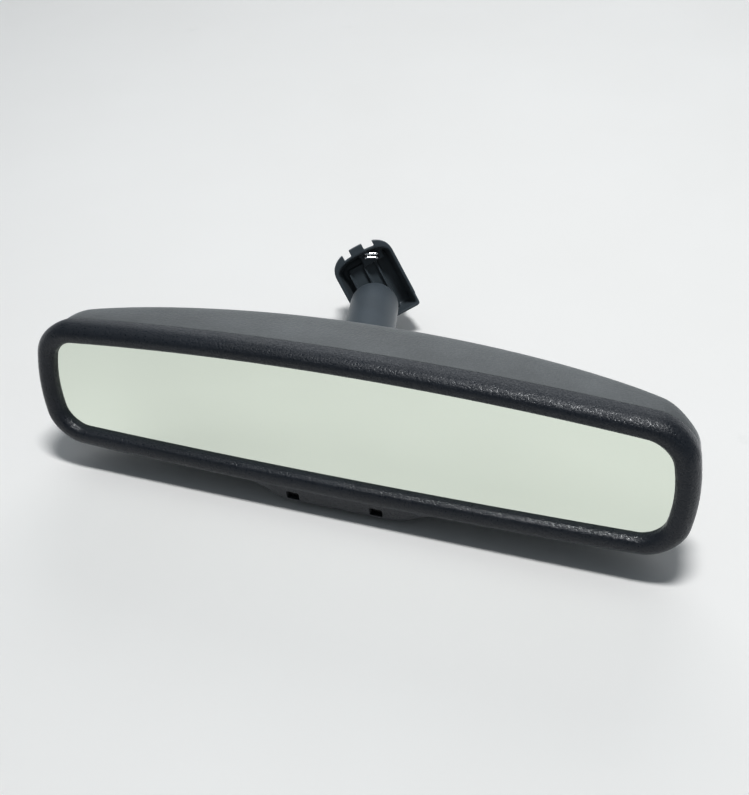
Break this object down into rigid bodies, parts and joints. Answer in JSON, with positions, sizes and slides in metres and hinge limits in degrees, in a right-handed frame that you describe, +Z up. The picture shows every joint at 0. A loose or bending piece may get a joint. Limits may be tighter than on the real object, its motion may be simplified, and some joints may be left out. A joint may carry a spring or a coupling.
{
  "type": "interior rearview mirror",
  "caption": "Car interior rearview mirror: wide arched auto-dimming glass in a black bezel, boxy rear case, and a double-ball arm on a windshield foot.",
  "frame": {"origin": "on the foot's windshield seat, in the middle of the closed end of its button channel", "axes": "+X along the mirror's length, to the right when facing the glass; +Y away from the glass side, towards the foot; +Z up, square to the bench that the mirror lies on"},
  "size_m": [0.2578, 0.1389, 0.0676],
  "materials": {
    "bezel_plastic": "fine-grained satin black plastic",
    "case_plastic": "fine-grained matt charcoal plastic",
    "arm_plastic": "smooth satin grey plastic",
    "foot_plastic": "satin black moulding",
    "front_glass": "clear coated glass over a reflecting layer, faint green tint",
    "rear_glass": "silvered glass",
    "seal_black": "matt epoxy seal",
    "clip_bronze": "tinned bronze strip",
    "foam_black": "matt adhesive foam",
    "frame_plastic": "plain dark moulding",
    "board_green": "solder-masked board",
    "chip_black": "moulded package",
    "screw_steel": "zinc-plated steel",
    "header_plastic": "satin moulding",
    "pin_brass": "plated brass",
    "lens_clear": "clear moulded light guide",
    "window_smoked": "smoked moulded light guide",
    "led_epoxy": "clear epoxy lamp",
    "plate_steel": "pressed steel",
    "ball_steel": "turned steel",
    "seat_nylon": "natural nylon",
    "spring_steel": "spring steel wire",
    "clip_chrome": "bright spring wire",
    "set_screw_black": "black-oxide steel"
  },
  "bodies": {
    "foot": {"foot_shell": "foot_plastic", "foot_ball_stud": "ball_steel", "foot_channel_plate": "plate_steel", "foot_set_screw": "set_screw_black", "foot_spring_clip": "clip_chrome"},
    "foot_ring": {"foot_seat_front": "seat_nylon"},
    "foot_cup": {"foot_seat_rear": "seat_nylon"},
    "arm": {"arm_tube": "arm_plastic", "arm_spring": "spring_steel", "spring_caps": "screw_steel"},
    "head_cup": {"head_seat_rear": "seat_nylon"},
    "head_ring": {"head_seat_front": "seat_nylon"},
    "head": {"front_bezel": "bezel_plastic", "rear_case": "case_plastic", "glass_front": "front_glass", "glass_rear": "rear_glass", "ec_seal": "seal_black", "bus_clips": "clip_bronze", "bus_leads": "clip_bronze", "glass_adhesive_pad": "foam_black", "carrier_frame": "frame_plastic", "circuit_board": "board_green", "board_components": "chip_black", "board_screws": "screw_steel", "connector_header": "header_plastic", "connector_pins": "pin_brass", "ambient_sensor": "chip_black", "ambient_lens": "lens_clear", "chin_board": "board_green", "glare_sensor": "chip_black", "glare_window": "window_smoked", "indicator_led": "led_epoxy", "indicator_window": "window_smoked", "ball_plate": "plate_steel", "plate_screws": "screw_steel", "stud_nut": "screw_steel", "head_ball_stud": "ball_steel"}
  },
  "joints": [
    {"name": "foot_swivel", "type": "hinge", "parent": "foot", "child": "foot_ring", "pos_m": [0.01498, -0.02681, -0.00556], "axis": [0.3543, 0.5755, 0.737], "range_deg": [-20, 20]},
    {"name": "foot_tilt", "type": "hinge", "parent": "foot_ring", "child": "foot_cup", "pos_m": [0.01498, -0.02681, -0.00556], "axis": [0.8507, 0.1289, -0.5096], "range_deg": [-39, 10]},
    {"name": "arm_roll", "type": "hinge", "parent": "foot_cup", "child": "arm", "pos_m": [0.01498, -0.02681, -0.00556], "axis": [0.2882, -0.9252, 0.247], "range_deg": [-45, 45]},
    {"name": "head_roll", "type": "hinge", "parent": "arm", "child": "head_cup", "pos_m": [0.02939, -0.07307, 0.00679], "axis": [0.2882, -0.9252, 0.247], "range_deg": [-45, 45]},
    {"name": "head_tilt", "type": "hinge", "parent": "head_cup", "child": "head_ring", "pos_m": [0.02939, -0.07307, 0.00679], "axis": [0.1685, -0.2049, -0.9642], "range_deg": [-41, 8]},
    {"name": "head_swivel", "type": "hinge", "parent": "head_ring", "child": "head", "pos_m": [0.02939, -0.07307, 0.00679], "axis": [-0.9857, -0.035, -0.1648], "range_deg": [-20, 20]}
  ]
}
